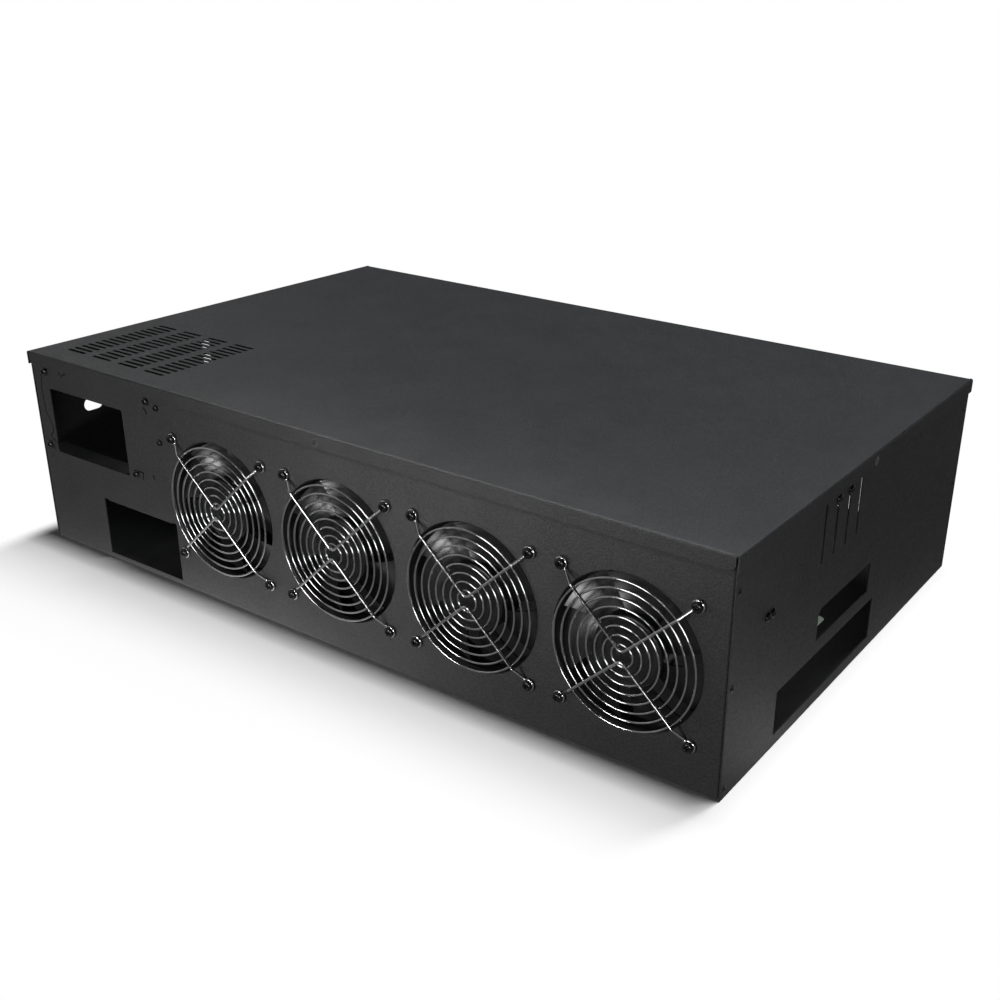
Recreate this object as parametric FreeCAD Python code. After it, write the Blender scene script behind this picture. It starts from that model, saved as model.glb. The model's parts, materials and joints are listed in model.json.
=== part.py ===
import FreeCAD, Part
import math
import os

from FreeCAD import Vector

# A closed steel case for a mining rig: folded base, riveted side panels, folded
# cover with vents, and four guarded 120 mm fans on the front wall.
# Millimetres. Origin at the middle of the underside. The fans face -Y, +Z is up.
# Places along the front are measured from the left side, and places along the
# sides from the front wall, as a sheet metal drawing gives them. A drop is
# measured down from the top of the case. The case is as wide as the power supply
# bay and the row of fans need.

# Driving dimensions of the case
case_depth = 441.6
case_height = 182.2
sheet = 1.0
bend = 0.8
lip = 14.0
return_depth = 12.0
floor_flange = 8.0
fold_relief = 0.5

# Cover
cover_sheet = 1.2
cover_gap = 0.4
cover_flange = 11.8
cover_corner_gap = 2.6
cover_corner_cut = 4.0
cover_screw_drop = 7.4
cover_screw_head = 3.6
cover_screw_sink = 1.1
cover_screw_radius = 1.6

# Vents in the cover
vent_columns = 4
vent_rows = 15
vent_x = 23.2
vent_y = 22.3
vent_column_pitch = 35.3
vent_row_pitch = 7.18
vent_length = 24.8
vent_width = 3.5

# Fans and the openings for them
fan_count = 4
fan_size = 120.0
fan_depth = 25.0
fan_bay_gap = 2.7
fan_gap = 11.6
fan_side_gap = 17.1
fan_below_middle = 3.6
fan_corner = 5.0
fan_flange = 4.0
fan_hole_inset = 7.5
fan_hole_radius = 2.2
fan_opening_rim = 0.4
duct_rim = 2.0
duct_wall = 1.6
duct_flare = 1.2
strut_count = 4
strut_width = 4.0
strut_thickness = 3.0
motor_mount = 26.0
motor_mount_thickness = 2.4

# Rotor, bearing and stator
rotor_setback = 1.0
rotor_gap = 3.6
hub_radius = 27.0
hub_wall = 1.6
hub_rounding = 1.8
blade_count = 7
blade_tip_gap = 1.6
blade_front = 3.4
blade_back = 0.6
blade_tip_lift = 3.0
blade_camber = 1.3
blade_span = 46.0
blade_sweep = 0.44
blade_root_thickness = 2.6
blade_tip_thickness = 1.6
shaft_radius = 1.5
shaft_clearance = 0.05
bearing_wall = 1.5
bearing_tube_wall = 1.4
stator_gap = 1.0
stator_length = 9.0
stator_poles = 4
rest_turns = (18.2, -5.4, -6.4, -4.8)

# Wire guard
guard_rings = 8
guard_inner = 8.3
guard_rim = 4.0
guard_ring_wire = 0.8
guard_rod_wire = 1.1
guard_stand = 4.4
guard_weld = 0.3
guard_apex = 2.8
guard_apex_bend = 4.5
guard_foot = 1.6
guard_step_bend = 2.2
guard_rod_run = 2.5
eyelet_radius = 3.9

# Pan-head screws as head radius, head height, shank radius and shank length
guard_screw = (4.2, 2.6, 2.1, 11.0)
bay_screw = (3.8, 2.3, 1.9, 6.0)
divider_screw = (3.0, 1.9, 1.5, 5.0)
pair_screw = (3.3, 2.0, 1.5, 7.0)
beam_screw = (3.8, 2.2, 1.45, 5.5)
hole_clearance = 0.1
recess_width = 0.9

# Power supply bay at the left of the front wall
bay_window_x = 22.3
bay_window_drop = 31.2
bay_window_height = 60.6
bay_window_edge = 40.1
bay_corner = 2.0
bay_upper_screws = (18.6, 5.5)
bay_upper_screw_drop = 16.0
bay_lower_screws = (10.5, 9.7)
bay_lower_screw_rises = (4.4, 4.2)
ledge_depth = 17.0
ledge_drop = 13.0
ledge_reach = 14.0

# Divider beside the power supply, and its two screws
divider_x = 163.0
divider_length = 205.0
divider_drop = 6.2
divider_flange = 15.0
divider_foot = 12.0
divider_screw_inset = 7.0
divider_screw_drops = (19.4, 50.2)

# Lower window at the left of the front wall
low_window_x = 80.8
low_window_bottom = 4.8
low_window_edge = 1.0
low_window_gap = 33.2
low_tab = 12.0
low_tab_inset = 6.0

# Openings in the right side panel
right_upper_window = (141.6, 56.8, 98.4, 26.2)
right_upper_corner = 4.0
right_lower_window = (78.8, 9.4, 175.4, 36.2)
slit_count = 4
slit_y = 135.6
slit_pitch = 21.15
slit_drop = 10.2
slit_length = 49.6
slit_width = 3.1
pair_y = 54.3
pair_pitch = 7.4
pair_height = 117.4
nut_flats = 5.5
nut_height = 2.4

# Openings in the left side panel
grip_slot = (57.0, 117.3, 21.0, 12.6)
cable_slot = (196.5, 44.0, 10.0)
cable_slot_drop = 48.2

# Rivets
rivet_inset = 5.4
rivet_drop = 27.2
rivet_lower_heights = (85.0, 7.4)
rivet_head = 2.9
rivet_head_height = 0.9
rivet_radius = 1.6
rivet_tail = 2.3
rivet_tail_length = 2.0

# Beam that steadies the cards
beam_drop = 9.0
beam_height = 13.0
beam_sheet = 1.2
beam_screw_drop = 7.2
beam_overhang = 6.5
beam_tab_relief = 2.4

# Rear wall with a window for each card, and the rail that takes the card screws
card_count = 8
card_first_gap = 64.0
card_last_gap = 30.6
card_window_width = 43.0
card_window_bottom = 33.0
card_window_drop = 37.2
rail_lift = 3.0
rail_depth = 13.0
rail_rise = 14.0
rail_margin = 4.0
card_screw_pitch = 20.3
card_screw_radius = 1.6

# Floor
floor_slot = (251.5, 60.0, 14.0)
floor_slot_gap = 53.1
standoff_columns = 4
standoff_first_gap = 42.0
standoff_last_gap = 42.6
standoff_back = 38.0
standoff_span = 165.0
standoff_flats = 5.5
standoff_height = 8.0
standoff_bore = 1.5

# Places worked out from the driving dimensions
fan_x = divider_x + divider_flange + fan_bay_gap + fan_size / 2
fan_pitch = fan_size + fan_gap
fan_height = case_height / 2 - fan_below_middle
fan_hole_square = fan_size - 2 * fan_hole_inset
fan_opening = fan_size / 2 - fan_opening_rim
duct_bore = fan_size / 2 - duct_rim
blade_tip = duct_bore - blade_tip_gap
guard_outer = fan_size / 2 - guard_rim
guard_straight = guard_outer + guard_rod_run
case_width = fan_x + (fan_count - 1) * fan_pitch + fan_size / 2 + fan_side_gap
left = -case_width / 2
front = -case_depth / 2
back = case_depth / 2
base_half = case_width / 2 - sheet
wall_top = case_height - cover_sheet
outer_bend = bend + sheet
cover_half = case_width / 2 + cover_gap + cover_sheet
cover_front = front - cover_gap - cover_sheet
cover_bend = bend + cover_sheet
flange_bottom = case_height - cover_flange
ring_pitch = (guard_outer - guard_inner) / (guard_rings - 1)
rod_level = guard_stand + guard_ring_wire + guard_rod_wire - guard_weld
bearing_radius = shaft_radius + shaft_clearance + bearing_wall
mount_face = fan_depth - motor_mount_thickness
rotor_end = mount_face - rotor_gap
rotor_depth = rotor_end - rotor_setback
blade_root_drop = rotor_depth - blade_front - blade_back
blade_tip_drop = blade_root_drop - blade_tip_lift
through = 4 * sheet
window_right = divider_x - bay_window_edge
window_top = case_height - bay_window_drop
window_bottom = window_top - bay_window_height
bay_window = (bay_window_x, window_bottom, window_right - bay_window_x, bay_window_height)
low_right = divider_x + divider_flange + low_window_edge
low_top = window_bottom - low_window_gap
low_window = (low_window_x, low_window_bottom, low_right - low_window_x, low_top - low_window_bottom)
divider_top = case_height - divider_drop
divider_screw_x = divider_x + divider_screw_inset
slit_top = case_height - slit_drop
slit_bottom = slit_top - slit_length
beam_top = case_height - beam_drop
beam_screw_height = beam_top - beam_screw_drop
card_window_top = case_height - card_window_drop
rail_height = card_window_top + rail_lift
rivet_heights = (case_height - rivet_drop,) + rivet_lower_heights


def fan_places():
    return [left + fan_x + i * fan_pitch for i in range(fan_count)]


def bay_screw_places():
    upper = case_height - bay_upper_screw_drop
    first, last = bay_upper_screws
    spots = [(first, upper), (divider_x - last, upper)]
    first, last = bay_lower_screws
    first_rise, last_rise = bay_lower_screw_rises
    return spots + [(first, window_bottom + first_rise), (window_right + last, window_bottom + last_rise)]


def divider_screw_heights():
    return [case_height - drop for drop in divider_screw_drops]


def card_places():
    first = left + divider_x + card_first_gap
    pitch = (-left - card_last_gap - first) / (card_count - 1)
    return [first + i * pitch for i in range(card_count)]


def slit_places():
    return [front + slit_y + i * slit_pitch for i in range(slit_count)]


def place(plane, a, b, c):
    """A point from two numbers on the plane's named axes and one on the axis left over."""
    rest = "".join(axis for axis in "xyz" if axis not in plane)
    spot = dict(zip(plane + rest, (a, b, c)))
    return Vector(spot["x"], spot["y"], spot["z"])


def straight(first, last):
    """The line between two points, or nothing where they meet."""
    return [Part.makeLine(first, last)] if first.distanceToPoint(last) > 1e-6 else []


def bent_path(points, radii):
    """Edges through the points, with a tangent arc at each inner corner."""
    edges = []
    start = points[0]
    for i, radius in enumerate(radii, 1):
        corner = points[i]
        into = (corner - points[i - 1]).normalize()
        out = (points[i + 1] - corner).normalize()
        half_turn = into.getAngle(out) / 2
        first = corner - into * (radius * math.tan(half_turn))
        last = corner + out * (radius * math.tan(half_turn))
        if radius > 0:
            inward = (out - into).normalize()
            nearest = corner + inward * (radius / math.cos(half_turn) - radius)
            edges += straight(start, first)
            edges.append(Part.Arc(first, nearest, last).toShape())
        else:
            edges += straight(start, corner)
        start = last
    return edges + straight(start, points[-1])


def folded(path, thickness, plane, start, length, radius=bend):
    """A sheet folded along a path of two-number points, thick to the left of travel."""
    flat = [Vector(a, b, 0) for a, b in path]
    steps = [(q - p).normalize() for p, q in zip(flat, flat[1:])]
    normals = [Vector(-step.y, step.x, 0) for step in steps]
    inner = [flat[0] + normals[0] * thickness]
    outer_radii = []
    inner_radii = []
    for i in range(1, len(flat) - 1):
        before = normals[i - 1]
        after = normals[i]
        inner.append(flat[i] + (before + after) * (thickness / (1 + before.dot(after))))
        turns_left = steps[i - 1].cross(steps[i]).z > 0
        near = radius
        far = radius + thickness if radius > 0 else 0
        outer_radii.append(far if turns_left else near)
        inner_radii.append(near if turns_left else far)
    inner.append(flat[-1] + normals[-1] * thickness)
    outside = [place(plane, p.x, p.y, start) for p in flat]
    inside = [place(plane, p.x, p.y, start) for p in inner]
    edges = bent_path(outside, outer_radii)
    edges.append(Part.makeLine(outside[-1], inside[-1]))
    edges += bent_path(inside[::-1], inner_radii[::-1])
    edges.append(Part.makeLine(inside[0], outside[0]))
    face = Part.Face(Part.Wire(Part.__sortEdges__(edges)))
    return face.extrude(place(plane, 0, 0, length))


def box(x, y, z, dx, dy, dz):
    return Part.makeBox(dx, dy, dz, Vector(x, y, z))


def rod(x, y, z, radius, length, axis=Vector(0, 1, 0)):
    return Part.makeCylinder(radius, length, Vector(x, y, z), axis)


def obround(plane, a, b, length, width, start, depth):
    """A slot with round ends, long along the first axis of its plane."""
    reach = length / 2 - width / 2
    corners = [place(plane, a - reach, b - width / 2, start)]
    corners.append(place(plane, a + reach, b - width / 2, start))
    corners.append(place(plane, a + reach, b + width / 2, start))
    corners.append(place(plane, a - reach, b + width / 2, start))
    right_end = place(plane, a + length / 2, b, start)
    left_end = place(plane, a - length / 2, b, start)
    edges = [Part.makeLine(corners[0], corners[1])]
    edges.append(Part.Arc(corners[1], right_end, corners[2]).toShape())
    edges.append(Part.makeLine(corners[2], corners[3]))
    edges.append(Part.Arc(corners[3], left_end, corners[0]).toShape())
    return Part.Face(Part.Wire(edges)).extrude(place(plane, 0, 0, depth))


def joined(shapes):
    return shapes[0].fuse(shapes[1:]).removeSplitter()


def mirrored(shape, normal):
    return shape.mirror(Vector(0, 0, 0), normal)


def save(name, shape):
    shape.exportStep("parts/" + name + ".step")


# Base: floor, front wall and rear wall folded from one sheet

def wall_cutters():
    """Everything cut through the front wall."""
    cutters = []
    y = front - through / 2
    x, z, width, height = bay_window
    window = box(left + x, y, z, width, through, height)
    upright = [edge for edge in window.Edges if abs(edge.tangentAt(edge.FirstParameter).y) > 0.9]
    cutters.append(window.makeFillet(bay_corner, upright))
    x, z, width, height = low_window
    cutters.append(box(left + x, y, z, width, through, height + outer_bend))
    for x, z in bay_screw_places():
        cutters.append(rod(left + x, y, z, bay_screw[2] + hole_clearance, through))
    for z in divider_screw_heights():
        cutters.append(rod(left + divider_screw_x, y, z, divider_screw[2] + hole_clearance, through))
    for x in fan_places():
        cutters.append(rod(x, y, fan_height, fan_opening, through))
        for dx, dz in square(fan_hole_square):
            cutters.append(rod(x + dx, y, fan_height + dz, guard_screw[2] + hole_clearance, through))
    return cutters


def square(size):
    half = size / 2
    return [(-half, half), (half, half), (-half, -half), (half, -half)]


def base_tray():
    inner_half = base_half - outer_bend
    path = [(front + lip, wall_top), (front, wall_top), (front, 0)]
    path += [(back, 0), (back, wall_top), (back - lip, wall_top)]
    pieces = [folded(path, sheet, "yz", -inner_half, 2 * inner_half)]
    bottom = outer_bend + fold_relief
    height = wall_top - 2 * bottom
    corner = [(inner_half, front), (base_half, front), (base_half, front + return_depth)]
    front_right = folded(corner, sheet, "xy", bottom, height)
    edge = [(inner_half, 0), (base_half, 0), (base_half, floor_flange)]
    clear = return_depth + 4 * sheet
    floor_right = folded(edge, sheet, "xz", front + clear, case_depth - 2 * clear)
    right_side = [front_right, mirrored(front_right, Vector(0, 1, 0)), floor_right]
    pieces += right_side
    pieces += [mirrored(piece, Vector(1, 0, 0)) for piece in right_side]
    tray = joined(pieces)

    cutters = wall_cutters()
    width = card_window_width
    height = card_window_top - card_window_bottom
    for x in card_places():
        cutters.append(box(x - width / 2, back - through / 2, card_window_bottom, width, through, height))
    y, length, width = floor_slot
    x = case_width / 2 - floor_slot_gap
    cutters.append(obround("yx", front + y, x, length, width, -through / 2, through))
    cutters += [standoff_hole(x, y) for x, y in standoff_places()]
    cutters += rivet_holes()
    cutters += cover_screw_holes()
    tray = tray.cut(Part.makeCompound(cutters))

    x, z, width, height = low_window
    top = z + height
    tab = [(front, top + outer_bend), (front, top), (front + low_tab, top)]
    start = left + x + low_tab_inset
    tray = joined([tray, folded(tab, sheet, "yz", start, width - 2 * low_tab_inset)])
    return tray


def rivet_places(outset=0.0):
    """Each rivet's point on the outer face of its side panel, with the way it faces."""
    spots = []
    for side in (-1, 1):
        for y in (front + rivet_inset, back - rivet_inset):
            for z in rivet_heights:
                spots.append((Vector(side * (case_width / 2 + outset), y, z), side))
    return spots


def rivet_holes():
    holes = []
    for point, side in rivet_places(sheet):
        axis = Vector(-side, 0, 0)
        holes.append(Part.makeCylinder(rivet_radius, 4 * sheet, point, axis))
    return holes


def cover_screw_places():
    """Middle of each cover flange on its outer face, with the way that face looks."""
    z = case_height - cover_screw_drop
    spots = [(Vector(0, cover_front, z), Vector(0, -1, 0))]
    spots.append((Vector(0, -cover_front, z), Vector(0, 1, 0)))
    spots.append((Vector(-cover_half, 0, z), Vector(-1, 0, 0)))
    spots.append((Vector(cover_half, 0, z), Vector(1, 0, 0)))
    return spots


def cover_screw_holes():
    holes = []
    for point, facing in cover_screw_places():
        depth = cover_sheet + cover_gap + 2 * sheet
        holes.append(Part.makeCylinder(cover_screw_radius, depth, point, facing * -1))
    return holes


def standoff_places():
    first = left + divider_x + standoff_first_gap
    pitch = (-left - standoff_last_gap - first) / (standoff_columns - 1)
    xs = [first + i * pitch for i in range(standoff_columns)]
    ys = [back - standoff_back - standoff_span, back - standoff_back]
    return [(x, y) for x in xs for y in ys]


def standoff_hole(x, y):
    return rod(x, y, -sheet, standoff_bore, 3 * sheet, Vector(0, 0, 1))


# Side panels, each with a lip under the cover

def side_panel():
    """The right panel before its own openings are cut."""
    path = [(case_width / 2, 0), (case_width / 2, wall_top), (case_width / 2 - lip, wall_top)]
    panel = folded(path, sheet, "xz", front, case_depth)
    trim = lip + 2 * sheet
    cutters = []
    for y in (front - sheet, back - trim):
        cutters.append(box(case_width / 2 - lip - 1, y, wall_top - outer_bend, lip + 2, trim + sheet, 4))
    panel = panel.cut(Part.makeCompound(cutters))
    return panel


def right_panel():
    cutters = []
    x = case_width / 2 - 2 * sheet
    y, z, length, height = right_lower_window
    cutters.append(box(x, front + y, z, 3 * sheet, length, height))
    y, z, length, height = right_upper_window
    cut = right_upper_corner
    outline = [(y, z), (y + length, z), (y + length, z + height), (y + cut, z + height)]
    outline += [(y, z + height - cut), (y, z)]
    wire = Part.makePolygon([Vector(x, front + a, b) for a, b in outline])
    cutters.append(Part.Face(wire).extrude(Vector(3 * sheet, 0, 0)))
    for y in slit_places():
        middle = (slit_bottom + slit_top) / 2
        cutters.append(obround("zy", middle, y, slit_top - slit_bottom, slit_width, x, 3 * sheet))
    for y in pair_places():
        hole = pair_screw[2] + hole_clearance
        cutters.append(rod(x, y, pair_height, hole, 3 * sheet, Vector(1, 0, 0)))
    cutters += rivet_holes()
    cutters += cover_screw_holes()
    return side_panel().cut(Part.makeCompound(cutters))


def left_panel():
    panel = mirrored(side_panel(), Vector(1, 0, 0))
    x = left - sheet
    cutters = []
    y, z, length, height = grip_slot
    cutters.append(obround("yz", front + y, z, length, height, x, 3 * sheet))
    y, length, width = cable_slot
    z = case_height - cable_slot_drop
    cutters.append(obround("zy", z, front + y, length, width, x, 3 * sheet))
    cutters += rivet_holes()
    cutters += cover_screw_holes()
    return panel.cut(Part.makeCompound(cutters))


def pair_places():
    return [front + pair_y - pair_pitch / 2, front + pair_y + pair_pitch / 2]


# Cover: a top with four flanges, corner reliefs and vents

def top_cover():
    depth = -2 * cover_front
    path = [(cover_half, flange_bottom), (cover_half, case_height)]
    path += [(-cover_half, case_height), (-cover_half, flange_bottom)]
    shell = folded(path, cover_sheet, "xz", cover_front, depth)
    half = cover_half - cover_corner_gap
    trims = []
    for y in (cover_front - 1, -cover_front - cover_bend):
        trims.append(box(-half, y, case_height - 2 * cover_sheet, 2 * half, cover_bend + 1, 3 * cover_sheet))
    shell = shell.cut(Part.makeCompound(trims))
    edge = [(cover_front + cover_bend, case_height), (cover_front, case_height)]
    edge.append((cover_front, flange_bottom))
    flange = folded(edge, cover_sheet, "yz", -half, 2 * half)
    cover = joined([shell, flange, mirrored(flange, Vector(0, 1, 0))])

    cutters = cover_screw_holes() + screw_cones()
    cutters += [corner_cut("yz", side * cover_half, end * cover_front, -end)
                for side in (-1, 1) for end in (-1, 1)]
    cutters += [corner_cut("xz", end * cover_front, side * half, -side)
                for side in (-1, 1) for end in (-1, 1)]
    for column in range(vent_columns):
        x = left + vent_x + vent_length / 2 + column * vent_column_pitch
        for row in range(vent_rows):
            y = front + vent_y + vent_width / 2 + row * vent_row_pitch
            z = case_height - 2 * cover_sheet
            cutters.append(obround("xy", x, y, vent_length, vent_width, z, 3 * cover_sheet))
    return cover.cut(Part.makeCompound(cutters))


def corner_cut(plane, across, along, inward):
    """A 45 degree cut off the lower corner of a cover flange."""
    size = cover_corner_cut
    points = [(along, flange_bottom), (along + inward * size, flange_bottom)]
    points += [(along, flange_bottom + size), (along, flange_bottom)]
    start = across - 2 * cover_sheet
    wire = Part.makePolygon([place(plane, a, b, start) for a, b in points])
    return Part.Face(wire).extrude(place(plane, 0, 0, 4 * cover_sheet))


def screw_cones():
    cones = []
    for point, facing in cover_screw_places():
        cone = Part.makeCone(cover_screw_head, cover_screw_radius, cover_screw_sink, point, facing * -1)
        cones.append(cone)
    return cones


# Fasteners

def pan_screw(spec, point, axis):
    """A pan-head screw with a cross recess, seated at the point and driven along the axis."""
    head, height, shank, length = spec
    crown = head * 0.45
    profile = [Part.makeLine(Vector(0, 0, -height), Vector(crown, 0, -height))]
    shoulder = Vector(head * 0.86, 0, -height * 0.72)
    rim = Vector(head, 0, -height * 0.3)
    profile.append(Part.Arc(Vector(crown, 0, -height), shoulder, rim).toShape())
    profile.append(Part.makeLine(rim, Vector(head, 0, 0)))
    profile.append(Part.makeLine(Vector(head, 0, 0), Vector(shank, 0, 0)))
    profile.append(Part.makeLine(Vector(shank, 0, 0), Vector(shank, 0, length - shank)))
    profile.append(Part.makeLine(Vector(shank, 0, length - shank), Vector(shank * 0.5, 0, length)))
    profile.append(Part.makeLine(Vector(shank * 0.5, 0, length), Vector(0, 0, length)))
    profile.append(Part.makeLine(Vector(0, 0, length), Vector(0, 0, -height)))
    face = Part.Face(Part.Wire(profile))
    body = face.revolve(Vector(0, 0, 0), Vector(0, 0, 1), 360)
    arm = head * 0.58
    depth = height * 0.6
    bar = box(-arm, -recess_width / 2, -height - 1, 2 * arm, recess_width, depth + 1)
    cross = bar.fuse(box(-recess_width / 2, -arm, -height - 1, recess_width, 2 * arm, depth + 1))
    body = body.cut(cross)
    turn = FreeCAD.Rotation(Vector(0, 0, 1), axis)
    body.Placement = FreeCAD.Placement(point, turn)
    return body


def cover_screw(point, facing):
    head = Part.makeCone(cover_screw_head, cover_screw_radius, cover_screw_sink, point, facing * -1)
    length = cover_sheet + cover_gap + 2.5 * sheet
    shank = Part.makeCylinder(cover_screw_radius - hole_clearance, length, point, facing * -1)
    arm = cover_screw_head * 0.5
    deep = 0.7
    slot = box(-arm, -recess_width / 2, -deep, 2 * arm, recess_width, deep + 1)
    cross = slot.fuse(box(-recess_width / 2, -arm, -deep, recess_width, 2 * arm, deep + 1))
    turn = FreeCAD.Rotation(Vector(0, 0, 1), facing)
    cross.Placement = FreeCAD.Placement(point, turn)
    return head.fuse(shank).cut(cross)


def rivet(point, side):
    """A blind rivet: domed head outside, a set tail inside, and the mandrel hole."""
    dome = (rivet_head ** 2 + rivet_head_height ** 2) / (2 * rivet_head_height)
    outward = Vector(side, 0, 0)
    ball = Part.makeSphere(dome, point - outward * (dome - rivet_head_height))
    half = Part.makeCylinder(rivet_head, rivet_head_height, point, outward)
    head = ball.common(half)
    grip = Part.makeCylinder(rivet_radius, 2 * sheet, point, outward * -1)
    tail = Part.makeCylinder(rivet_tail, rivet_tail_length, point - outward * (2 * sheet), outward * -1)
    mandrel = Part.makeCylinder(0.8, 1.0, point + outward * rivet_head_height, outward * -1)
    return head.fuse([grip, tail]).removeSplitter().cut(mandrel)


def hex_nut(point, axis, flats, height, bore):
    radius = flats / math.sqrt(3)
    corners = [Vector(radius * math.cos(math.radians(60 * i)), radius * math.sin(math.radians(60 * i)), 0)
               for i in range(7)]
    nut = Part.Face(Part.makePolygon(corners)).extrude(Vector(0, 0, height))
    nut = nut.cut(Part.makeCylinder(bore, height))
    nut.Placement = FreeCAD.Placement(point, FreeCAD.Rotation(Vector(0, 0, 1), axis))
    return nut


# Pieces inside the case

def bay_ledge():
    """Angle behind the front wall that carries the front edge of the power supply."""
    x, z, width, height = bay_window
    y = front + sheet
    path = [(y + ledge_depth, z), (y, z), (y, z - ledge_drop)]
    start = left + sheet + 2
    return folded(path, sheet, "yz", start, x + width + ledge_reach - sheet - 2)


def bay_divider():
    """Upright plate beside the power supply, with a front flange and a foot under the supply."""
    x = left + divider_x
    y = front + sheet
    bottom = bay_window[1] - sheet
    path = [(x, y + divider_length), (x, y), (x + divider_flange, y)]
    plate = folded(path, sheet, "xy", bottom + outer_bend, divider_top - bottom - outer_bend)
    foot_path = [(x - divider_foot, bottom), (x + sheet, bottom), (x + sheet, bottom + outer_bend)]
    foot_start = y + 2 * ledge_depth
    foot = folded(foot_path, sheet, "xz", foot_start, divider_length - 2 * ledge_depth)
    plate = joined([plate, foot])
    cutters = []
    for z in divider_screw_heights():
        cutters.append(rod(left + divider_screw_x, y - sheet, z, divider_screw[2] + hole_clearance, through))
    for point_y in slit_places()[1:3]:
        hole = beam_screw[2] + hole_clearance
        cutters.append(rod(x - sheet, point_y, beam_screw_height, hole, through, Vector(1, 0, 0)))
    return plate.cut(Part.makeCompound(cutters))


def card_beam():
    """Channel across the case whose end tabs are screwed to the divider and the right panel."""
    first, last = slit_places()[1:3]
    near = first - beam_overhang
    far = last + beam_overhang
    start = left + divider_x + sheet
    end = case_width / 2 - sheet
    gap = bend + beam_sheet
    path = [(far, beam_top - beam_height), (far, beam_top), (near, beam_top), (near, beam_top - beam_height)]
    channel = folded(path, beam_sheet, "yz", start + gap, end - start - 2 * gap)
    tab_bottom = beam_top - beam_height
    right_path = [(end, tab_bottom), (end, beam_top), (end - gap, beam_top)]
    left_path = [(start + gap, beam_top), (start, beam_top), (start, tab_bottom)]
    tab_start = near + beam_tab_relief
    tab_width = far - near - 2 * beam_tab_relief
    tabs = [folded(tab_path, beam_sheet, "xz", tab_start, tab_width) for tab_path in (right_path, left_path)]
    beam = joined([channel] + tabs)
    cutters = []
    for y in (first, last):
        hole = beam_screw[2] + hole_clearance
        cutters.append(rod(start - 1, y, beam_screw_height, hole, end - start + 2, Vector(1, 0, 0)))
    return beam.cut(Part.makeCompound(cutters))


def card_rail():
    """Angle inside the rear wall above the card windows, with two screw holes for each card."""
    y = back - sheet
    path = [(y, rail_height + rail_rise), (y, rail_height), (y - rail_depth, rail_height)]
    path = path[::-1]
    reach = card_window_width / 2 + rail_margin
    start = card_places()[0] - reach
    rail = folded(path, sheet, "yz", start, card_places()[-1] + reach - start)
    holes = []
    hole_y = y - rail_depth / 2
    for middle in card_places():
        for x in (middle - card_screw_pitch / 2, middle + card_screw_pitch / 2):
            holes.append(rod(x, hole_y, rail_height - 1, card_screw_radius, 3 * sheet, Vector(0, 0, 1)))
    return rail.cut(Part.makeCompound(holes))


# Fan pieces, each built with its axis on Y and the fan's front face at y = 0

def fan_frame():
    half = fan_size / 2
    plate = box(-half, 0, -half, fan_size, fan_depth, fan_size)
    along = [edge for edge in plate.Edges if abs(edge.tangentAt(edge.FirstParameter).y) > 0.9]
    block = plate.makeFillet(fan_corner, along)
    waist = box(-half, fan_flange, -half, fan_size, fan_depth - 2 * fan_flange, fan_size)
    duct = rod(0, 0, 0, duct_bore + duct_wall, fan_depth)
    block = block.cut(waist.cut(duct))
    flare = Part.makeCone(duct_bore + duct_flare, duct_bore, 3, Vector(0, 0, 0), Vector(0, 1, 0))
    cutters = [rod(0, 0, 0, duct_bore, fan_depth), flare]
    for dx, dz in square(fan_hole_square):
        cutters.append(rod(dx, -1, dz, fan_hole_radius, fan_depth + 2))
    block = block.cut(Part.makeCompound(cutters))

    tube_radius = bearing_radius + bearing_tube_wall
    pieces = [rod(0, mount_face, 0, motor_mount, motor_mount_thickness)]
    pieces.append(rod(0, rotor_setback + 2 * hub_wall + 1, 0, tube_radius,
                      mount_face - rotor_setback - 2 * hub_wall - 1))
    strut_start = motor_mount - 2
    strut_length = duct_bore + duct_wall / 2 - strut_start
    for i in range(strut_count):
        strut = box(strut_start, fan_depth - strut_thickness, -strut_width / 2,
                    strut_length, strut_thickness, strut_width)
        strut.rotate(Vector(0, 0, 0), Vector(0, 1, 0), 45 + i * 360 / strut_count)
        pieces.append(strut)
    frame = joined([block] + pieces)
    seat = rod(0, 0, 0, bearing_radius, fan_depth - 1)
    return frame.cut(seat)


def blade():
    """One swept and twisted blade, thinner at its tip than at its root."""
    root = hub_radius - hub_wall / 2
    steps = 4
    front_grid = []
    back_grid = []
    for i in range(steps + 1):
        share = i / steps
        radius = root + (blade_tip - root) * share
        lead = math.radians(blade_sweep * (radius - root))
        thickness = blade_root_thickness + (blade_tip_thickness - blade_root_thickness) * share
        drop = blade_root_drop + (blade_tip_drop - blade_root_drop) * share
        front_row = []
        back_row = []
        for j in range(steps + 1):
            part = j / steps
            angle = lead - math.radians(blade_span) * part
            y = rotor_setback + blade_front + (drop - thickness) * part
            y += blade_camber * math.sin(math.pi * part)
            front_row.append(Vector(radius * math.cos(angle), y, radius * math.sin(angle)))
            back_row.append(Vector(radius * math.cos(angle), y + thickness, radius * math.sin(angle)))
        front_grid.append(front_row)
        back_grid.append(back_row)
    faces = []
    for grid in (front_grid, back_grid):
        surface = Part.BSplineSurface()
        surface.interpolate(grid)
        faces.append(surface.toShape())
    sides = []
    for near, far in zip(faces[0].OuterWire.Edges, matched(faces[0], faces[1])):
        sides.append(Part.makeRuledSurface(near, far))
    shell = Part.makeShell(faces + sides)
    shell.sewShape()
    return Part.makeSolid(shell)


def matched(face, other):
    """The other face's boundary edges in the order of this face's, paired by place."""
    pairs = []
    for edge in face.OuterWire.Edges:
        middle = edge.CenterOfMass
        pairs.append(min(other.OuterWire.Edges, key=lambda e: e.CenterOfMass.distanceToPoint(middle)))
    return pairs


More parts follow.
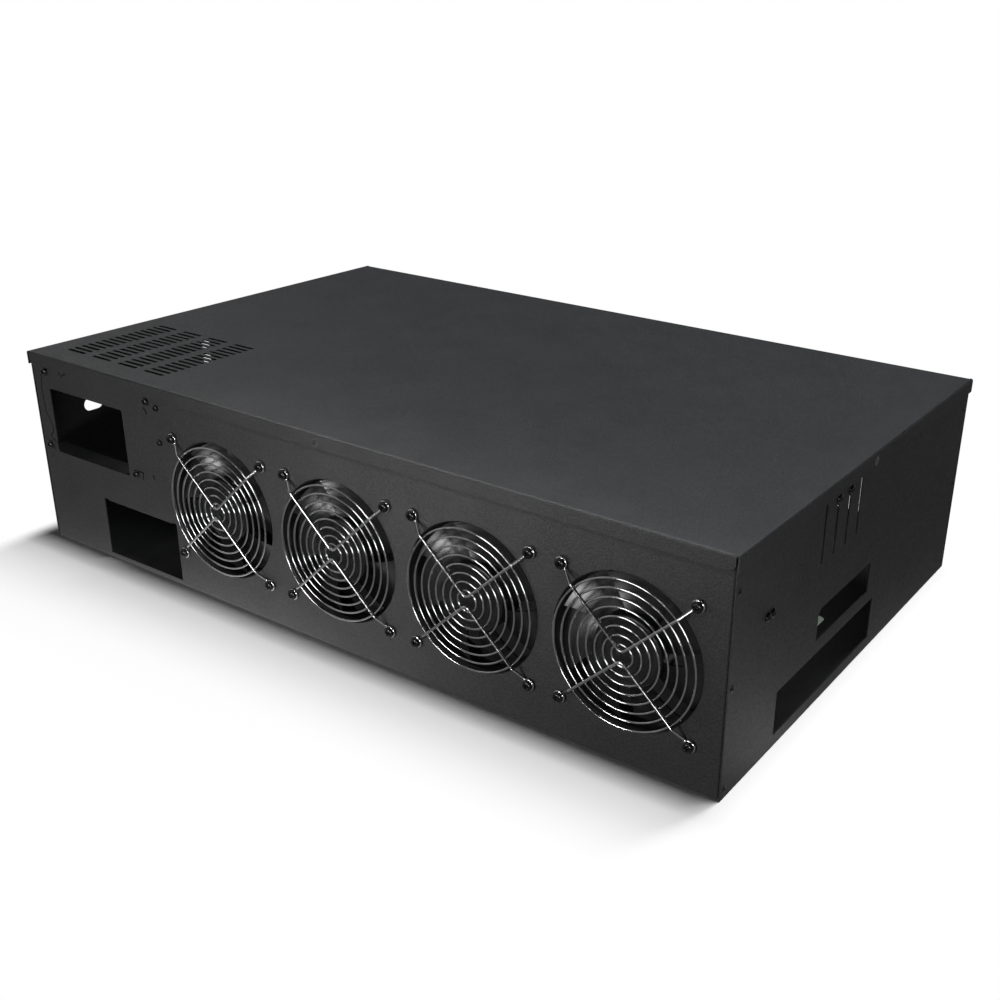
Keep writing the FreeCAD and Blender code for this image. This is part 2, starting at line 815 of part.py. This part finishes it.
def fan_rotor():
    cup = rod(0, rotor_setback, 0, hub_radius, rotor_depth)
    rim = [edge for edge in cup.Edges if abs(edge.CenterOfMass.y - rotor_setback) < 0.01]
    cup = cup.makeFillet(hub_rounding, rim)
    inside = rod(0, rotor_setback + hub_wall, 0, hub_radius - hub_wall, rotor_depth)
    cup = cup.cut(inside)
    shaft_start = rotor_setback + hub_wall / 2
    shaft = rod(0, shaft_start, 0, shaft_radius, mount_face - shaft_start - 1)
    collar = rod(0, shaft_start, 0, 2 * shaft_radius, hub_wall / 2 + 1)
    one = blade()
    blades = []
    for i in range(blade_count):
        copy = one.copy()
        copy.rotate(Vector(0, 0, 0), Vector(0, 1, 0), i * 360 / blade_count)
        blades.append(copy)
    return cup.fuse([shaft, collar] + blades)


def fan_bearing():
    start = rotor_setback + 2 * hub_wall + 1
    length = mount_face - start
    sleeve = rod(0, start, 0, bearing_radius, length)
    return sleeve.cut(rod(0, start - 1, 0, shaft_radius + shaft_clearance, length + 2))


def fan_stator():
    """Laminated core with one coil on each pole, on the bearing tube."""
    tube = bearing_radius + bearing_tube_wall
    outer = hub_radius - hub_wall - stator_gap
    start = rotor_end - stator_length - 2
    core = rod(0, start, 0, tube + 2.5, stator_length)
    ring = rod(0, start, 0, outer, stator_length).cut(rod(0, start, 0, outer - 1.8, stator_length))
    gaps = []
    arms = []
    for i in range(stator_poles):
        turn = i * 360 / stator_poles
        arm = box(0, start, -1.6, outer - 1, stator_length, 3.2)
        coil = box(tube + 2, start - 0.8, -4, outer - tube - 5, stator_length + 1.6, 8)
        gap = box(0, start - 1, -1.5, 2 * outer, stator_length + 2, 3)
        gap.rotate(Vector(0, 0, 0), Vector(0, 1, 0), turn + 180 / stator_poles)
        gaps.append(gap)
        for shape in (arm, coil):
            shape.rotate(Vector(0, 0, 0), Vector(0, 1, 0), turn)
            arms.append(shape)
    ring = ring.cut(Part.makeCompound(gaps))
    stator = core.fuse([ring] + arms)
    return stator.cut(rod(0, start - 2, 0, tube, stator_length + 4))


def guard_rod(side):
    """One V-shaped rod: eyelet, step up off the wall, straight to the bend near the middle, and back."""
    corner = fan_hole_square / 2
    diagonal = math.sqrt(0.5)
    foot = corner - eyelet_radius * diagonal
    step = foot - guard_foot * diagonal
    rise = guard_straight * diagonal
    points = [Vector(-foot, -guard_rod_wire, side * foot)]
    points.append(Vector(-step, -guard_rod_wire, side * step))
    points.append(Vector(-rise, -rod_level, side * rise))
    points.append(Vector(0, -rod_level, side * guard_apex))
    points.append(Vector(rise, -rod_level, side * rise))
    points.append(Vector(step, -guard_rod_wire, side * step))
    points.append(Vector(foot, -guard_rod_wire, side * foot))
    radii = [guard_step_bend, guard_step_bend, guard_apex_bend, guard_step_bend, guard_step_bend]
    path = Part.Wire(bent_path(points, radii))
    start = (points[1] - points[0]).normalize()
    section = Part.Wire(Part.makeCircle(guard_rod_wire, points[0], start))
    return path.makePipeShell([section], True, False)


def fan_guard():
    """Wire finger guard: concentric rings welded behind two bent rods that end in eyelets."""
    pieces = [guard_rod(side) for side in (1, -1)]
    for dx, dz in square(fan_hole_square):
        centre = Vector(dx, -guard_rod_wire, dz)
        pieces.append(Part.makeTorus(eyelet_radius, guard_rod_wire, centre, Vector(0, 1, 0)))
    for i in range(guard_rings):
        radius = guard_inner + i * ring_pitch
        centre = Vector(0, -guard_stand, 0)
        pieces.append(Part.makeTorus(radius, guard_ring_wire, centre, Vector(0, 1, 0)))
    return pieces[0].fuse(pieces[1:])


# Write one file for each piece or group of like fasteners

os.makedirs("parts", exist_ok=True)
save("base_tray", base_tray())
save("side_panel_right", right_panel())
save("side_panel_left", left_panel())
save("top_cover", top_cover())
save("bay_ledge", bay_ledge())
save("bay_divider", bay_divider())
save("card_beam", card_beam())
save("card_rail", card_rail())

frame_shape = fan_frame()
rotor_shape = fan_rotor()
bearing_shape = fan_bearing()
stator_shape = fan_stator()
guard_shape = fan_guard()
guard_screws = []
for number, x in enumerate(fan_places(), 1):
    inside = Vector(x, front + sheet, fan_height)
    save("fan_frame_" + str(number), frame_shape.translated(inside))
    turned = rotor_shape.copy()
    turned.rotate(Vector(0, 0, 0), Vector(0, -1, 0), rest_turns[number - 1])
    save("fan_rotor_" + str(number), turned.translated(inside))
    save("fan_bearing_" + str(number), bearing_shape.translated(inside))
    save("fan_stator_" + str(number), stator_shape.translated(inside))
    save("fan_guard_" + str(number), guard_shape.translated(Vector(x, front, fan_height)))
    for dx, dz in square(fan_hole_square):
        seat = Vector(x + dx, front - 2 * guard_rod_wire, fan_height + dz)
        guard_screws.append(pan_screw(guard_screw, seat, Vector(0, 1, 0)))
save("guard_screws", Part.makeCompound(guard_screws))

bay_shapes = [pan_screw(bay_screw, Vector(left + x, front, z), Vector(0, 1, 0))
              for x, z in bay_screw_places()]
save("bay_screws", Part.makeCompound(bay_shapes))
divider_shapes = [pan_screw(divider_screw, Vector(left + divider_screw_x, front, z), Vector(0, 1, 0))
                  for z in divider_screw_heights()]
save("divider_screws", Part.makeCompound(divider_shapes))

inward = Vector(-1, 0, 0)
side_x = case_width / 2
pair_shapes = [pan_screw(pair_screw, Vector(side_x, y, pair_height), inward) for y in pair_places()]
save("pair_screws", Part.makeCompound(pair_shapes))
nut_bore = pair_screw[2] + hole_clearance
nut_shapes = [hex_nut(Vector(side_x - sheet, y, pair_height), inward, nut_flats, nut_height, nut_bore)
              for y in pair_places()]
save("pair_nuts", Part.makeCompound(nut_shapes))
beam_shapes = [pan_screw(beam_screw, Vector(side_x, y, beam_screw_height), inward)
               for y in slit_places()[1:3]]
beam_shapes += [pan_screw(beam_screw, Vector(left + divider_x, y, beam_screw_height), Vector(1, 0, 0))
                for y in slit_places()[1:3]]
save("beam_screws", Part.makeCompound(beam_shapes))

save("cover_screws", Part.makeCompound([cover_screw(p, facing) for p, facing in cover_screw_places()]))
save("panel_rivets", Part.makeCompound([rivet(p, side) for p, side in rivet_places()]))
standoffs = [hex_nut(Vector(x, y, sheet), Vector(0, 0, 1), standoff_flats, standoff_height, standoff_bore)
             for x, y in standoff_places()]
save("board_standoffs", Part.makeCompound(standoffs))
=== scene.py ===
import json
import math

import bpy
from mathutils import Euler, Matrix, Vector


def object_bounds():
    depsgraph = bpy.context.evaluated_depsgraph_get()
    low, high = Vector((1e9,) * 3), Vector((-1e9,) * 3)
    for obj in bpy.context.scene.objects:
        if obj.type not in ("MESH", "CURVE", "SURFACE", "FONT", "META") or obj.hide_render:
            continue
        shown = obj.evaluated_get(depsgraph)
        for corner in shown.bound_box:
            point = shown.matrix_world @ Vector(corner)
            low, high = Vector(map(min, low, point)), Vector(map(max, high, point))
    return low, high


# Looks for a closed steel mining case with four guarded fans, in metres.
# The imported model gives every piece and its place. This script gives the
# finishes, the studio, the light and the camera.

# Camera: a 36 mm sensor, fitted to the case's corners and the fan screws
camera_place = (0.6472, -0.8398, 0.5059)
camera_turn_deg = (66.145, -1.025, 34.331)
camera_lens_mm = 44.57
camera_shift = (-0.0691, 0.0145)

# Studio floor, as the camera sees it: shaded near the case, and plain white further out.
# The fade runs over this distance from the case, and this many times sooner at its ends.
floor_half = 8.0
floor_drop = 0.0002
floor_colour = 0.80
floor_bounce = 0.02
floor_fade = (0.03, 0.16)
side_haste = 5.0

# Painted light: a pale glowing spot on the floor under the base's cable slot, where the case's shadow falls:
# centre, radii and colour
painted_slot_glow = ((0.3032, 0.0307), (0.03, 0.05), (0.115, 0.140, 0.118))

# Where reflections show the white background: the floor from the first distance to the
# second, and the room between these heights above and below the horizon
mirror_floor = (2.5, 6.0)
mirror_room = (0.05, 0.01)

# What the case sees of the floor, all painted light: a faint painted glow and painted pools of light as centre,
# radii and strength
painted_floor_glow = 0.13
painted_light_pools = {
    "front_pool": ((-0.04, -0.22), (0.22, 0.08), 0.30),
    "front_line": ((-0.12, -0.23), (0.32, 0.04), 0.50),
    "front_left_pool": ((-0.25, -0.22), (0.25, 0.10), 0.25),
    "far_left_pool": ((-0.55, -0.22), (0.30, 0.30), 0.07),
    "corner_pool": ((0.39, -0.14), (0.08, 0.10), 0.48),
    "corner_far_pool": ((0.44, -0.06), (0.10, 0.12), 0.13),
    "right_pool": ((0.356, 0.00), (0.08, 0.30), 0.18),
    "left_pool": ((-0.42, 0.00), (0.20, 0.35), 0.25),
    "rear_pool": ((0.00, 0.26), (0.50, 0.16), 0.25),
}

# What the case sees of the room: an even, dim glow
room_glow = 0.006

# Scuffs on the fan wall round the supply bay: a half width and then points, all in mm
# right of the wall's lower left corner and up from it. The corner and waver are in metres.
wall_corner = (-0.3563, -0.2208)
scuff_waver = 0.0012
scuff_marks = (
    (0.55, (13.1, 163.7), (10.6, 151.6), (10.6, 139.0), (12.0, 126.4), (18.5, 114.1),
     (18.1, 108.2), (13.4, 104.8), (15.8, 101.6), (22.0, 99.2), (22.4, 93.9)),
    (0.80, (8.8, 172.0), (14.8, 170.3)),
    (0.80, (20.1, 169.0), (24.5, 170.0)),
    (0.80, (39.6, 169.2), (40.8, 167.4)),
    (0.55, (42.6, 166.1), (55.0, 172.4)),
    (0.80, (153.6, 159.8), (156.1, 157.5), (156.4, 155.0)),
    (0.70, (155.5, 98.4), (156.8, 95.6)),
    (0.60, (15.7, 94.8), (17.0, 91.6)),
    (0.55, (136.4, 97.8), (142.5, 98.4), (140.7, 91.8)),
)

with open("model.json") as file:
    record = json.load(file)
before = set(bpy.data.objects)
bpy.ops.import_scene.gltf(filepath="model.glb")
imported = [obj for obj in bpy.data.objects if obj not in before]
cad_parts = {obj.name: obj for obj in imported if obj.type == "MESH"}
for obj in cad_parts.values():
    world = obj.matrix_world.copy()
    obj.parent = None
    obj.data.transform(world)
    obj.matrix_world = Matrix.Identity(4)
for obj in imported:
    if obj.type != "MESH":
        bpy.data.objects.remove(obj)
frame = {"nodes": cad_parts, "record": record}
cad_box = [list(corner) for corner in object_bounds()]
scene = bpy.context.scene


# Node helpers

def fresh_tree(material):
    material.use_nodes = True
    tree = material.node_tree
    tree.nodes.clear()
    return tree


def put(tree, kind, settings=None, **inputs):
    """A node whose sockets are set to values or linked to other nodes' outputs."""
    node = tree.nodes.new(kind)
    for name, value in (settings or {}).items():
        setattr(node, name, value)
    for name, value in inputs.items():
        socket = node.inputs[int(name[1:])] if name[0] == "_" else node.inputs[name.replace("_", " ")]
        if isinstance(value, bpy.types.NodeSocket):
            tree.links.new(value, socket)
        else:
            socket.default_value = value
    return node


def grey(level):
    return (level, level, level, 1.0)


def noise(tree, scale, detail=2.0, roughness=0.5):
    """Noise over the object's own coordinates, so it stays with the piece as it moves."""
    place = put(tree, "ShaderNodeTexCoord").outputs["Object"]
    return put(tree, "ShaderNodeTexNoise", Vector=place, Scale=scale, Detail=detail,
               Roughness=roughness).outputs["Fac"]


def spread(tree, value, low, high, start=0.3, end=0.7):
    """The value, from start to end, taken to the range from low to high."""
    return put(tree, "ShaderNodeMapRange", Value=value, From_Min=start, From_Max=end,
               To_Min=low, To_Max=high).outputs["Result"]


def smooth(tree, value, start, end, low=0.0, high=1.0):
    """The value, from start to end, taken smoothly from low to high."""
    node = put(tree, "ShaderNodeMapRange", {"interpolation_type": "SMOOTHSTEP"}, Value=value,
               From_Min=start, From_Max=end, To_Min=low, To_Max=high)
    return node.outputs["Result"]


def maths(tree, operation, first, second=0.0):
    return put(tree, "ShaderNodeMath", {"operation": operation}, _0=first, _1=second).outputs[0]


def vectors(tree, operation, first, second=(0.0, 0.0, 0.0), output=0):
    return put(tree, "ShaderNodeVectorMath", {"operation": operation}, _0=first, _1=second).outputs[output]


def tint(tree, value, low, high):
    """A colour between two, by a value from 0 to 1."""
    return put(tree, "ShaderNodeMix", {"data_type": "RGBA"}, _0=value, _6=low, _7=high).outputs[2]


def bumps(tree, layers, edge=0.0):
    """Stacked bump from (height, strength, depth) layers, over rounded edges if an edge is given."""
    normal = None
    if edge:
        normal = put(tree, "ShaderNodeBevel", {"samples": 4}, Radius=edge).outputs["Normal"]
    for height, strength, depth in layers:
        node = put(tree, "ShaderNodeBump", Strength=strength, Distance=depth, Height=height)
        if normal:
            tree.links.new(normal, node.inputs["Normal"])
        normal = node.outputs["Normal"]
    return normal


def finish(tree, **inputs):
    shader = put(tree, "ShaderNodeBsdfPrincipled", **inputs)
    put(tree, "ShaderNodeOutputMaterial", Surface=shader.outputs["BSDF"])


# Finishes

coat_dark = (0.017, 0.0171, 0.0176, 1)
coat_light = (0.049, 0.0493, 0.0505, 1)
coat_rough = (0.46, 0.58)
coat_relief = 0.0004
coat_edge = 0.0004
grain_per_m = 900.0
peel_per_m = 420.0
mottle_per_m = 24.0
bare_level = 0.008


def powder_coat(name="black_powder_coat", marks=()):
    """Fine-grained black powder coat: grain, slow orange peel, faint mottling and any scuff marks."""
    material = bpy.data.materials.new(name)
    tree = fresh_tree(material)
    grain = noise(tree, grain_per_m, 2.0, 0.7)
    peel = noise(tree, peel_per_m, 2.0)
    mottle = noise(tree, mottle_per_m, 3.0)
    speck = maths(tree, "ADD", maths(tree, "MULTIPLY", grain, 0.8), maths(tree, "MULTIPLY", mottle, 0.2))
    colour = tint(tree, spread(tree, speck, 0.0, 1.0, 0.35, 0.65), coat_dark, coat_light)
    rough = spread(tree, peel, *coat_rough)
    normal = bumps(tree, [(peel, 0.35, coat_relief), (grain, 0.7, coat_relief)], edge=coat_edge)
    bare = 0.0
    if marks:
        bare = scuffs(tree, marks)
        colour = tint(tree, bare, colour, grey(bare_level))
    finish(tree, Base_Color=colour, Metallic=bare, Roughness=rough, Normal=normal)
    return material


def scuffs(tree, marks):
    """1 along thin wavering lines on the fan wall, 0 elsewhere. A line is a half width and points, in mm."""
    place = put(tree, "ShaderNodeTexCoord").outputs["Object"]
    waver = put(tree, "ShaderNodeTexNoise", Vector=place, Scale=350.0, Detail=2.0).outputs["Color"]
    shift = vectors(tree, "SCALE", vectors(tree, "SUBTRACT", waver, (0.5, 0.5, 0.5)))
    shift.node.inputs["Scale"].default_value = scuff_waver
    worn = 0.0
    for half_width, *points in marks:
        for first, second in zip(points, points[1:]):
            start, end = [Vector((wall_corner[0] + x / 1000, wall_corner[1], z / 1000))
                          for x, z in (first, second)]
            run = end - start
            from_start = vectors(tree, "ADD", vectors(tree, "SUBTRACT", place, tuple(start)), shift)
            along = vectors(tree, "DOT_PRODUCT", from_start, tuple(run / run.length_squared), output=1)
            along = maths(tree, "MINIMUM", maths(tree, "MAXIMUM", along, 0.0), 1.0)
            nearest = vectors(tree, "SCALE", tuple(run))
            tree.links.new(along, nearest.node.inputs["Scale"])
            gap = vectors(tree, "DISTANCE", from_start, nearest, output=1)
            line = smooth(tree, gap, half_width / 1000 * 1.5, half_width / 1000 * 0.5)
            worn = maths(tree, "MAXIMUM", worn, line)
    return worn


def moulded(name, colour, roughness, grain_strength):
    """Injection-moulded plastic with a faint flow texture."""
    material = bpy.data.materials.new(name)
    tree = fresh_tree(material)
    flow = noise(tree, 60.0, 3.0)
    grain = noise(tree, 2500.0, 1.0)
    base = tint(tree, spread(tree, flow, 0.0, 1.0), grey(colour * 0.92), grey(colour * 1.08))
    rough = spread(tree, flow, roughness * 0.95, roughness * 1.05)
    normal = bumps(tree, [(grain, grain_strength, 0.0001)], edge=0.0003)
    finish(tree, Base_Color=base, Roughness=rough, Normal=normal)
    return material


def metal(name, colour, roughness, wear=0.15, grain=2200.0, grain_strength=0.1):
    """Plated or turned metal, a little uneven in colour and gloss."""
    material = bpy.data.materials.new(name)
    tree = fresh_tree(material)
    patch = noise(tree, 180.0, 3.0)
    low = tuple(c * (1 - wear) for c in colour) + (1.0,)
    high = tuple(min(1.0, c * (1 + wear)) for c in colour) + (1.0,)
    base = tint(tree, spread(tree, patch, 0.0, 1.0), low, high)
    rough = spread(tree, patch, roughness * 0.75, roughness * 1.3)
    normal = bumps(tree, [(noise(tree, grain, 1.0), grain_strength, 0.0001)], edge=0.00015)
    finish(tree, Base_Color=base, Metallic=1.0, Roughness=rough, Normal=normal)
    return material


def black_steel(name, colour, roughness):
    """Black oxide on a screw or rivet: dark, with a wet sheen and lighter worn high spots."""
    material = bpy.data.materials.new(name)
    tree = fresh_tree(material)
    patch = noise(tree, 700.0, 3.0)
    base = tint(tree, spread(tree, patch, 0.0, 1.0), grey(colour * 0.7), grey(colour * 1.6))
    rough = spread(tree, patch, roughness * 0.7, roughness * 1.4)
    normal = bumps(tree, [(patch, 0.15, 0.0001)], edge=0.0002)
    finish(tree, Base_Color=base, Roughness=rough, Normal=normal)
    return material


finishes = {
    "black_powder_coat": powder_coat(),
    "fan_plastic": moulded("fan_plastic", 0.018, 0.34, 0.12),
    "rotor_plastic": moulded("rotor_plastic", 0.014, 0.26, 0.05),
    "guard_wire": metal("guard_wire", (0.62, 0.62, 0.63), 0.08),
    "black_screw": black_steel("black_screw", 0.006, 0.14),
    "black_rivet": black_steel("black_rivet", 0.010, 0.26),
    "nickel_screw": metal("nickel_screw", (0.24, 0.24, 0.25), 0.32),
    "zinc_steel": metal("zinc_steel", (0.56, 0.57, 0.60), 0.28),
    "brass": metal("brass", (0.70, 0.53, 0.26), 0.25),
    "bearing_bronze": metal("bearing_bronze", (0.48, 0.34, 0.20), 0.42),
    "motor_copper": metal("motor_copper", (0.60, 0.30, 0.14), 0.32),
}

# Pieces by kind, for the lamps: what isn't named here is a small part
kinds = {"black_powder_coat": "sheet", "guard_wire": "wire",
         "fan_plastic": "plastic", "rotor_plastic": "plastic"}
lit = {kind: [] for kind in ("sheet", "wire", "plastic", "small", "floor")}
for part in frame["record"]["subparts"]:
    node = frame["nodes"][part["node"]]
    lit[kinds.get(part["material_slot"], "small")].append(node)
    node.data.materials.clear()
    node.data.materials.append(finishes[part["material_slot"]])
frame["nodes"]["base_tray"].data.materials[0] = powder_coat("black_powder_coat_scuffed", scuff_marks)


# Studio floor, whose brightness the camera sees is lifted to white outside the shadow

def seen_direct(tree):
    """1 for rays from the camera or through glass, 0 for all others."""
    path = put(tree, "ShaderNodeLightPath")
    return maths(tree, "MAXIMUM", path.outputs["Is Camera Ray"], path.outputs["Is Transmission Ray"])


def mirrored(tree, share):
    """The share of the white background that a reflection shows, and 0 for all other rays."""
    return maths(tree, "MULTIPLY", put(tree, "ShaderNodeLightPath").outputs["Is Glossy Ray"], share)


def studio_floor():
    """A diffuse floor. To the camera it fades to plain white away from the case. To the case it shows only
    painted light: a faint glow and pools of light.
    """
    mesh = bpy.data.meshes.new("studio_floor")
    h = floor_half
    mesh.from_pydata([(-h, -h, -floor_drop), (h, -h, -floor_drop), (h, h, -floor_drop), (-h, h, -floor_drop)],
                     [], [(0, 1, 2, 3)])
    floor = bpy.data.objects.new("studio_floor", mesh)
    scene.collection.objects.link(floor)
    lit["floor"].append(floor)
    material = bpy.data.materials.new("studio_floor")
    tree = fresh_tree(material)
    place = put(tree, "ShaderNodeNewGeometry").outputs["Position"]

    # Painted light: the floor's glow and pools of light, which light the case though no lamp gives them
    glow = painted_floor_glow
    for centre, radii, strength in painted_light_pools.values():
        apart = vectors(tree, "SUBTRACT", place, centre + (-floor_drop,))
        scaled = vectors(tree, "DIVIDE", apart, radii + (1.0,))
        pool = smooth(tree, vectors(tree, "LENGTH", scaled, output=1), 1.0, 0.0)
        glow = maths(tree, "ADD", glow, maths(tree, "MULTIPLY", pool, strength))
    painted_floor_light = put(tree, "ShaderNodeEmission", Color=grey(1.0), Strength=glow)

    lamplit = put(tree, "ShaderNodeBsdfDiffuse", Color=grey(floor_colour))
    shaded = put(tree, "ShaderNodeAddShader", _0=lamplit.outputs[0],
                 _1=put(tree, "ShaderNodeEmission", Color=grey(1.0), Strength=floor_bounce).outputs[0])
    white = put(tree, "ShaderNodeEmission", Color=grey(1.0), Strength=1.0)
    beyond = vectors(tree, "SUBTRACT", vectors(tree, "ABSOLUTE", place),
                     (cad_box[1][0], cad_box[1][1], 1.0))
    outside = vectors(tree, "MAXIMUM", beyond)
    hastened = vectors(tree, "MULTIPLY", outside, (side_haste, 1.0, 1.0))
    away = vectors(tree, "LENGTH", hastened, output=1)
    seen = put(tree, "ShaderNodeMixShader", Fac=smooth(tree, away, *floor_fade), _1=shaded.outputs[0],
               _2=white.outputs[0])
    # Painted light: a pale glow on the floor under the cable slot, inside the case's shadow
    centre, radii, colour = painted_slot_glow
    from_spot = vectors(tree, "SUBTRACT", place, centre + (-floor_drop,))
    scaled = vectors(tree, "DIVIDE", from_spot, radii + (1.0,))
    under_slot = maths(tree, "LESS_THAN", vectors(tree, "LENGTH", scaled, output=1), 1.0)
    spot = put(tree, "ShaderNodeEmission", Color=colour + (1.0,), Strength=1.0)
    seen = put(tree, "ShaderNodeMixShader", Fac=under_slot, _1=seen.outputs[0], _2=spot.outputs[0])
    far = smooth(tree, vectors(tree, "LENGTH", place, output=1), *mirror_floor)
    direct = put(tree, "ShaderNodeMixShader", Fac=seen_direct(tree), _1=painted_floor_light.outputs[0], _2=seen.outputs[0])
    both = put(tree, "ShaderNodeMixShader", Fac=mirrored(tree, far), _1=direct.outputs[0], _2=white.outputs[0])
    put(tree, "ShaderNodeOutputMaterial", Surface=both.outputs[0])
    mesh.materials.append(material)


def studio_world():
    """White to the camera. To the case, a dim room with a white horizon in reflections."""
    world = bpy.data.worlds.new("studio")
    scene.world = world
    world.use_nodes = True
    tree = world.node_tree
    tree.nodes.clear()
    way = put(tree, "ShaderNodeTexCoord").outputs["Generated"]
    height = maths(tree, "ABSOLUTE", put(tree, "ShaderNodeSeparateXYZ", Vector=way).outputs["Z"])
    horizon = mirrored(tree, smooth(tree, height, *mirror_room))
    seen = maths(tree, "MAXIMUM", seen_direct(tree), horizon)
    strength = put(tree, "ShaderNodeMix", {"data_type": "FLOAT"}, _0=seen, _2=room_glow, _3=1.0)
    sky = put(tree, "ShaderNodeBackground", Color=grey(1.0), Strength=strength.outputs[0])
    put(tree, "ShaderNodeOutputWorld", Surface=sky.outputs["Background"])


def pieces_of(kinds_named):
    """A collection of the pieces of the named kinds."""
    group = bpy.data.collections.new(kinds_named)
    for kind in kinds_named.split():
        for piece in lit[kind]:
            group.objects.link(piece)
    return group


def softbox(name, place, aim, size, watts, lights, colour=(1.0, 1.0, 1.0), shadows=""):
    """A rectangular area light at a place, turned to face a point.

    It lights the named kinds of piece. Where shadows are named, only those kinds cast them."""
    lamp = bpy.data.lights.new(name, "AREA")
    lamp.shape = "RECTANGLE"
    lamp.size, lamp.size_y = size
    lamp.energy = watts
    lamp.color = colour
    holder = bpy.data.objects.new(name, lamp)
    holder.location = place
    holder.rotation_euler = (Vector(aim) - Vector(place)).to_track_quat("-Z", "Y").to_euler()
    scene.collection.objects.link(holder)
    holder.visible_camera = False
    holder.light_linking.receiver_collection = pieces_of(lights)
    if shadows:
        holder.light_linking.blocker_collection = pieces_of(shadows)


def camera():
    lens = bpy.data.cameras.new("camera")
    lens.lens = camera_lens_mm
    lens.sensor_width = 36.0
    lens.shift_x, lens.shift_y = camera_shift
    lens.clip_start = 0.01
    holder = bpy.data.objects.new("camera", lens)
    holder.location = camera_place
    holder.rotation_euler = Euler([math.radians(a) for a in camera_turn_deg])
    scene.collection.objects.link(holder)
    scene.camera = holder


studio_floor()
studio_world()
middle = (0.0, 0.0, 0.1)
fans = (0.08, -0.22, 0.09)

# The floor's soft shadow
softbox("floor_far", (0.52, 0.77, 3.3), middle, (0.35, 1.65), 67.0, "floor", shadows="sheet plastic")
softbox("floor_near", (0.54, -0.03, 2.8), (0.54, -0.03, 0.0), (0.30, 0.37), 58.0, "floor",
        shadows="sheet plastic")

# The coated sheets
softbox("overhead", (0.30, 1.00, 2.6), middle, (1.2, 1.2), 37.0, "sheet", (0.93, 0.975, 1.03))
softbox("above_left", (-1.6, 0.3, 2.2), middle, (1.2, 1.2), 18.0, "sheet")
softbox("front_low", (-0.05, -0.45, 0.03), (-0.05, -0.22, 0.02), (0.30, 0.04), 0.25, "sheet")
softbox("front_left", (-0.70, -2.52, 0.12), fans, (0.60, 0.22), 13.5, "sheet")
softbox("front_rim", (0.13, -0.264, 0.262), (0.13, -0.2224, 0.182), (0.50, 0.02), 0.20, "sheet")
softbox("right_near", (0.50, -0.26, 0.10), (0.356, -0.2, 0.1), (0.10, 0.18), 0.07, "sheet")
softbox("inside", (0.10, 0.06, 0.15), (0.12, 0.0, 0.0), (0.40, 0.10), 0.06, "sheet small")

# The chrome guards, and the sheen on the blades and screws
softbox("wire_left", (-0.50, -2.06, 0.20), fans, (0.50, 0.38), 12.0, "wire small plastic")
softbox("wire_right", (0.95, -2.10, 0.20), fans, (0.66, 0.38), 12.0, "wire small plastic")
softbox("wire_strip", (0.03, -2.20, 0.20), fans, (0.04, 0.38), 1.0, "wire small")
softbox("wire_sky", (-2.2, -0.9, 1.6), fans, (3.0, 3.0), 10.0, "wire small")
softbox("wire_front", (0.3, -3.4, 2.0), fans, (4.5, 3.0), 3.5, "wire small plastic")
softbox("blade_sky", (-0.4, -0.4, 2.4), fans, (1.8, 1.2), 6.0, "plastic small")

camera()

scene.view_settings.view_transform = "Standard"
